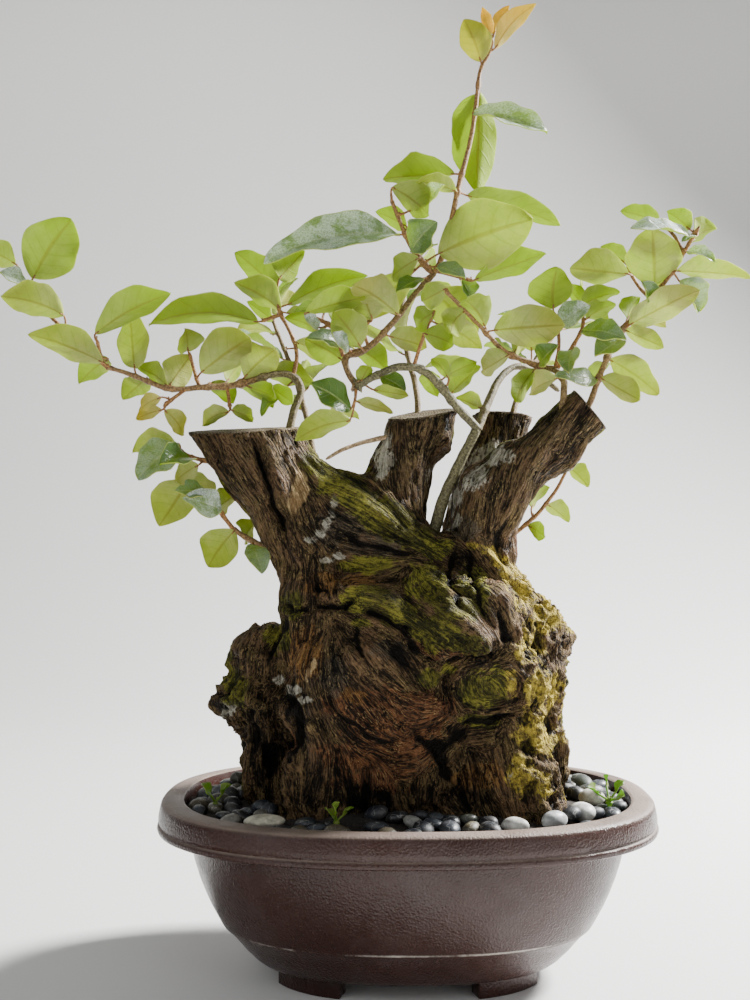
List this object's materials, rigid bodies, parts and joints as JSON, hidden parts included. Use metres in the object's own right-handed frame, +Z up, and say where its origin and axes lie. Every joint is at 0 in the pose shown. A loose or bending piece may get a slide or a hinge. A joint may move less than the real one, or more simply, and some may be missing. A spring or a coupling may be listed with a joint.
{
  "type": "potted silverberry bonsai",
  "caption": "Silverberry bonsai: a gnarled stump with sawn limbs and leafy new shoots, in pebbled soil in a dark brown oval pot on low feet.",
  "frame": {"origin": "under the middle of the whole object's box, on the surface that the pot's feet stand on", "axes": "+Z up, -Y towards the front of the tree, +X to the front viewer's right along the pot's length"},
  "size_m": [0.527, 0.2922, 0.6638],
  "materials": {
    "pot": "dark chocolate-brown moulded plastic, semi-gloss, fine leathery grain, dusty rim",
    "soil": "dark damp potting soil",
    "gravel": "smooth river pebbles, mostly slate blue-grey",
    "light_pebble": "smooth pale river pebbles",
    "bark": "rough old bark with bare weathered wood, moss and lichen",
    "foliage": "leathery leaves, glossy and silver-flecked above, pale green beneath, on brown twigs",
    "weed": "soft bright green leaflets"
  },
  "bodies": {
    "root": {"pot": "pot", "soil": "soil", "gravel": "gravel", "light_pebble_1": "light_pebble", "light_pebble_2": "light_pebble", "light_pebble_3": "light_pebble", "light_pebble_4": "light_pebble", "light_pebble_5": "light_pebble", "trunk": "bark", "fork_branch": "foliage", "left_branch": "foliage", "left_twig": "foliage", "left_low_shoot": "foliage", "right_shoot": "foliage", "inner_branch": "foliage", "dead_twig": "bark", "right_low_twig": "foliage", "back_left_shoot": "foliage", "back_middle_shoot": "foliage", "back_right_shoot": "foliage", "right_weed": "weed", "left_weed": "weed", "front_seedling": "weed"}
  },
  "joints": []
}
